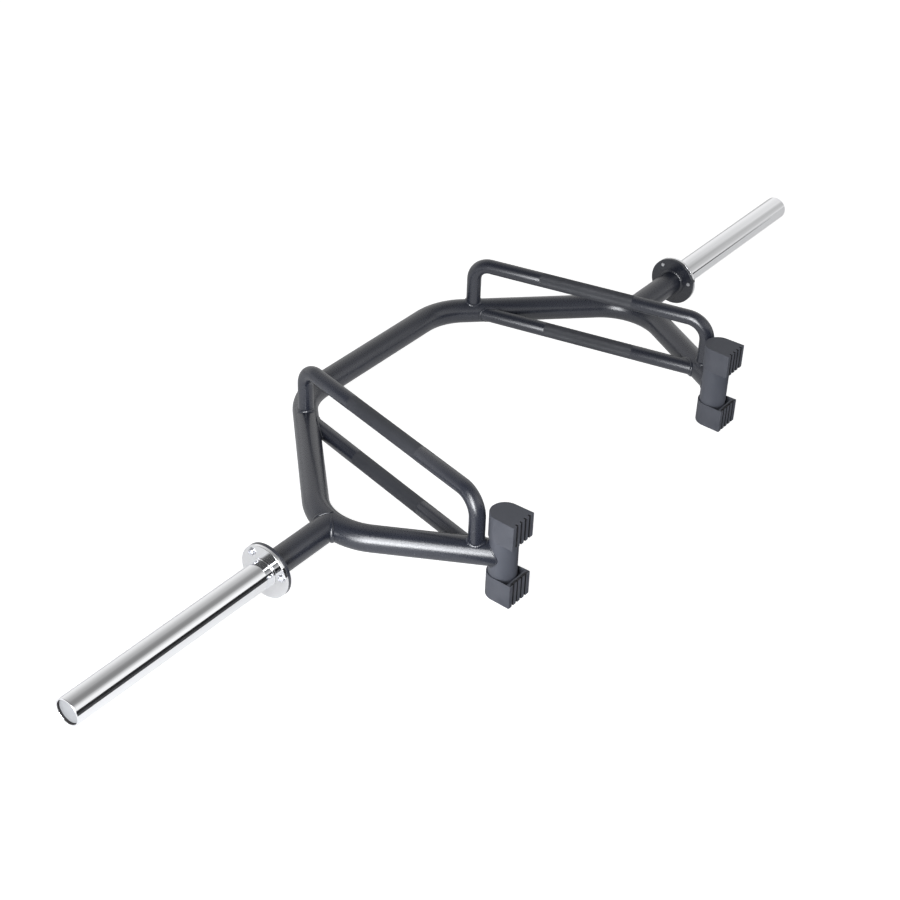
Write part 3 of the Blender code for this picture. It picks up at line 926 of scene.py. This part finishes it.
def makeBlackCard():
    # A dark card that only shiny pieces see. It draws the dark line along the chrome.
    material = bpy.data.materials.new("blackCard")
    material.use_nodes = True
    shader = material.node_tree.nodes["Principled BSDF"]
    shader.inputs["Base Color"].default_value = (*blackCard["colour"], 1)
    shader.inputs["Roughness"].default_value = blackCard["roughness"]
    (startX, startY), (endX, endY) = blackCard["from"], blackCard["to"]
    form = bmesh.new()
    verts = [form.verts.new((x, startY, blackCard["lift"])) for x in (startX, endX)]
    edges = [form.edges.new(verts)]
    for shift in ((0, endY - startY, 0), (0, 0, blackCard["height"])):
        verts = newVerts(bmesh.ops.extrude_edge_only(form, edges=edges)["geom"])
        bmesh.ops.translate(form, verts=verts, vec=shift)
        edges = ringEdges(verts)
    card = stageMesh(form, "blackCard", material)
    card.visible_camera = card.visible_diffuse = False
    card.visible_shadow = card.visible_transmission = False


def addSpot(tree, direction, spot):
    # A soft round patch of sky: 1 in its middle, 0 outside.
    near = tree.nodes.new("ShaderNodeVectorMath")
    near.operation = "DOT_PRODUCT"
    near.inputs[1].default_value = towards(spot)
    tree.links.new(direction, near.inputs[0])
    return addRange(tree, near.outputs["Value"], 0.0, 1.0, spot["start"], spot["full"])


def makeWorld():
    world = bpy.data.worlds.new("paleStudio")
    bpy.context.scene.world = world
    world.use_nodes = True
    tree = world.node_tree
    background = tree.nodes["Background"]
    background.inputs["Color"].default_value = (1, 1, 1, 1)
    direction = tree.nodes.new("ShaderNodeTexCoord").outputs["Generated"]
    parts = tree.nodes.new("ShaderNodeSeparateXYZ")
    tree.links.new(direction, parts.inputs[0])
    rise = addMath(tree, "MAXIMUM", parts.outputs["Z"], 0.0)
    rise = addMath(tree, "POWER", rise, studio["ceilingPower"])
    loss = addMath(tree, "MULTIPLY", rise, studio["ceilingLoss"])
    mirrored = addMath(tree, "SUBTRACT", studio["wall"], loss)
    for spot in skySpots.values():
        patch = addSpot(tree, direction, spot)
        if "darker" in spot:
            kept = addMath(tree, "SUBTRACT", 1.0, addMath(tree, "MULTIPLY", patch, spot["darker"]))
            mirrored = addMath(tree, "MULTIPLY", mirrored, kept)
        else:
            added = addMath(tree, "MULTIPLY", patch, spot["brighter"])
            mirrored = addMath(tree, "ADD", mirrored, added)
    level = addRayLevel(tree, 1.0, mirrored, studio["ambient"])
    tree.links.new(level, background.inputs["Strength"])


def addLamps():
    for name, look in lamps.items():
        lamp = bpy.data.lights.new(name, "AREA")
        lamp.shape = "RECTANGLE"
        lamp.size, lamp.size_y = look["size"]
        lamp.energy = look["power"]
        lamp.color = lampColour
        item = bpy.data.objects.new(name, lamp)
        item.location = towards(look) * look["distance"]
        item.rotation_mode = "QUATERNION"
        item.rotation_quaternion = aimed(-towards(look))
        item.visible_glossy = look["mirrored"]
        bpy.context.scene.collection.objects.link(item)


def addCamera():
    camera = bpy.data.objects.new("camera", bpy.data.cameras.new("camera"))
    camera.data.lens = cameraView["lens"]
    camera.data.sensor_width = cameraView["sensor"]
    camera.data.clip_end = cameraView["clipEnd"]
    camera.location = cameraView["place"]
    camera.rotation_mode = "QUATERNION"
    camera.rotation_quaternion = (aimed(cameraView["aim"] - cameraView["place"])
                                  @ Quaternion((0, 0, 1), cameraView["roll"]))
    bpy.context.scene.collection.objects.link(camera)
    bpy.context.scene.camera = camera


makeFloor()
makeBlackCard()
makeWorld()
addLamps()
addCamera()
bpy.context.scene.view_settings.view_transform = "Standard"
print("studio ready")
